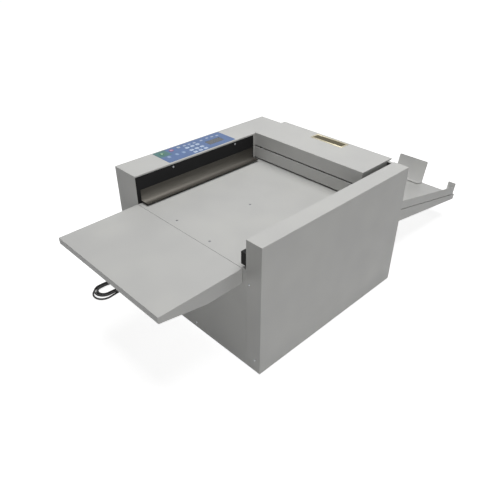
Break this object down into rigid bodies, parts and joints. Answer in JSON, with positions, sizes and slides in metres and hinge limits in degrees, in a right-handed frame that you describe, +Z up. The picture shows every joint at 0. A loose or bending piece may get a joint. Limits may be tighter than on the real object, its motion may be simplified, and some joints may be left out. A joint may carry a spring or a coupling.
{
  "type": "desktop paper creasing machine",
  "caption": "Desktop creasing machine: feed bed between two housings, keypad, hinged rear cover, extension table and sloping exit tray with stop paddle.",
  "frame": {"origin": "middle of the whole machine's footprint, table and tray included, on the surface it stands on", "axes": "+Y the way the paper travels, from the extension table to the exit tray; +X to the far-side housing, away from the keypad; +Z up"},
  "size_m": [0.841, 1.6404, 0.4841],
  "materials": {
    "light_grey_coat": "satin powder coat",
    "black_coat": "satin powder coat",
    "zinc_plate": "zinc plated",
    "guide_steel": "brushed",
    "ground_steel": "ground",
    "rubber_black": "matte",
    "membrane_blue": "satin film",
    "key_white": "satin",
    "key_green": "satin",
    "key_red": "satin",
    "key_grey": "satin",
    "display_dark": "gloss",
    "board_green": "satin",
    "badge_gold": "satin",
    "badge_bronze": "satin",
    "bush_bronze": "machined",
    "motor_black": "satin",
    "pulley_aluminium": "machined",
    "carrier_aluminium": "machined",
    "black_plastic": "fine texture",
    "cord_black": "satin sheath",
    "pin_brass": "nickel plated"
  },
  "bodies": {
    "machine": {"base_pan": "zinc_plate", "feet_and_bumpers": "rubber_black", "left_side_frame": "zinc_plate", "right_side_frame": "zinc_plate", "cross_members": "zinc_plate", "left_cover": "light_grey_coat", "right_cover": "light_grey_coat", "front_panel": "light_grey_coat", "rear_lower_panel": "light_grey_coat", "rear_upper_panel": "light_grey_coat", "feed_bed": "light_grey_coat", "side_plate": "black_coat", "side_guide": "guide_steel", "right_rail": "black_coat", "entry_panel": "light_grey_coat", "hinge_fixed_leaves": "zinc_plate", "keypad_membrane": "membrane_blue", "membrane_keys": "key_white", "display_module": "display_dark", "keypad_board": "board_green", "bearing_bushes": "bush_bronze", "feed_motor": "motor_black", "feed_belt": "rubber_black", "crease_motor": "motor_black", "crease_belt": "rubber_black", "die_bar": "ground_steel", "guide_posts": "ground_steel", "power_supply": "zinc_plate", "control_board": "board_green", "inlet_plate": "black_plastic", "machine_screws": "zinc_plate", "strain_relief": "cord_black", "cord_runs": "cord_black", "cord_hank": "cord_black", "cord_tie": "black_plastic", "mains_plug": "cord_black", "plug_pins": "pin_brass"},
    "cover": {"rear_cover": "light_grey_coat", "hinge_cover_leaves": "zinc_plate", "badge_frame": "badge_gold", "badge_plate": "badge_bronze"},
    "start_button": {"start_key": "key_green"},
    "stop_button": {"stop_key": "key_red"},
    "reset_button": {"reset_key": "key_grey"},
    "table": {"extension_table": "light_grey_coat"},
    "tray": {"exit_tray": "light_grey_coat"},
    "paddle": {"stop_paddle": "light_grey_coat"},
    "guide": {"tray_guide": "light_grey_coat"},
    "infeed_drive": {"infeed_lower_shaft": "ground_steel", "infeed_lower_sleeves": "rubber_black"},
    "infeed_press": {"infeed_upper_roller": "ground_steel"},
    "outfeed_drive": {"outfeed_lower_shaft": "ground_steel", "outfeed_lower_sleeves": "rubber_black"},
    "outfeed_press": {"outfeed_upper_roller": "ground_steel"},
    "feed_rotor": {"feed_motor_pulley": "pulley_aluminium"},
    "crease_rotor": {"crease_motor_pulley": "pulley_aluminium"},
    "cam": {"cam_shaft": "ground_steel"},
    "carriage": {"blade_carrier": "carrier_aluminium", "crease_blade": "ground_steel"},
    "rocker": {"power_switch": "black_plastic"}
  },
  "joints": [
    {"name": "cover_hinge", "type": "hinge", "parent": "machine", "child": "cover", "pos_m": [0.02, 0.1858, 0.4775], "axis": [-1, 0, 0], "range_deg": [0, 85]},
    {"name": "start_press", "type": "slide", "parent": "machine", "child": "start_button", "axis": [0, 0, 1], "range_m": [-0.0006, 0], "stiffness_N_per_m": 600, "springref_m": 0.0005},
    {"name": "stop_press", "type": "slide", "parent": "machine", "child": "stop_button", "axis": [0, 0, 1], "range_m": [-0.0006, 0], "stiffness_N_per_m": 600, "springref_m": 0.0005},
    {"name": "reset_press", "type": "slide", "parent": "machine", "child": "reset_button", "axis": [0, 0, 1], "range_m": [-0.0006, 0], "stiffness_N_per_m": 600, "springref_m": 0.0005},
    {"name": "table_lift", "type": "slide", "parent": "machine", "child": "table", "axis": [0, 0, 1], "range_m": [0, 0.013]},
    {"name": "tray_lift", "type": "slide", "parent": "machine", "child": "tray", "axis": [0, 0, 1], "range_m": [0, 0.013]},
    {"name": "paddle_slide", "type": "slide", "parent": "tray", "child": "paddle", "axis": [0, 0.9763, -0.2164], "range_m": [-0.42, 0]},
    {"name": "guide_slide", "type": "slide", "parent": "tray", "child": "guide", "axis": [1, 0, 0], "range_m": [-0.12, 0]},
    {"name": "infeed_lower_spin", "type": "hinge", "parent": "machine", "child": "infeed_drive", "pos_m": [0.02, 0.0683, 0.3645], "axis": [1, 0, 0], "continuous": true},
    {"name": "infeed_upper_spin", "type": "hinge", "parent": "machine", "child": "infeed_press", "pos_m": [0.02, 0.0683, 0.3888], "axis": [1, 0, 0], "continuous": true},
    {"name": "outfeed_lower_spin", "type": "hinge", "parent": "machine", "child": "outfeed_drive", "pos_m": [0.02, 0.1443, 0.3645], "axis": [1, 0, 0], "continuous": true},
    {"name": "outfeed_upper_spin", "type": "hinge", "parent": "machine", "child": "outfeed_press", "pos_m": [0.02, 0.1443, 0.3888], "axis": [1, 0, 0], "continuous": true},
    {"name": "feed_motor_spin", "type": "hinge", "parent": "machine", "child": "feed_rotor", "pos_m": [-0.25, -0.0317, 0.2705], "axis": [1, 0, 0], "continuous": true},
    {"name": "cam_spin", "type": "hinge", "parent": "machine", "child": "cam", "pos_m": [0.02, 0.1083, 0.446], "axis": [1, 0, 0], "continuous": true},
    {"name": "crease_motor_spin", "type": "hinge", "parent": "machine", "child": "crease_rotor", "pos_m": [-0.26, 0.0683, 0.2105], "axis": [1, 0, 0], "continuous": true},
    {"name": "blade_stroke", "type": "slide", "parent": "machine", "child": "carriage", "axis": [0, 0, 1], "range_m": [-0.004, 0]},
    {"name": "power_rocker", "type": "hinge", "parent": "machine", "child": "rocker", "pos_m": [-0.335, -0.2277, 0.078], "axis": [0, 1, 0], "range_deg": [-18, 0]}
  ],
  "couplings": [
    {"joint": "infeed_upper_spin", "follows": "infeed_lower_spin", "ratio": -1},
    {"joint": "outfeed_lower_spin", "follows": "infeed_lower_spin", "ratio": 1},
    {"joint": "outfeed_upper_spin", "follows": "infeed_lower_spin", "ratio": -1},
    {"joint": "feed_motor_spin", "follows": "infeed_lower_spin", "ratio": 1},
    {"joint": "crease_motor_spin", "follows": "cam_spin", "ratio": 1}
  ]
}
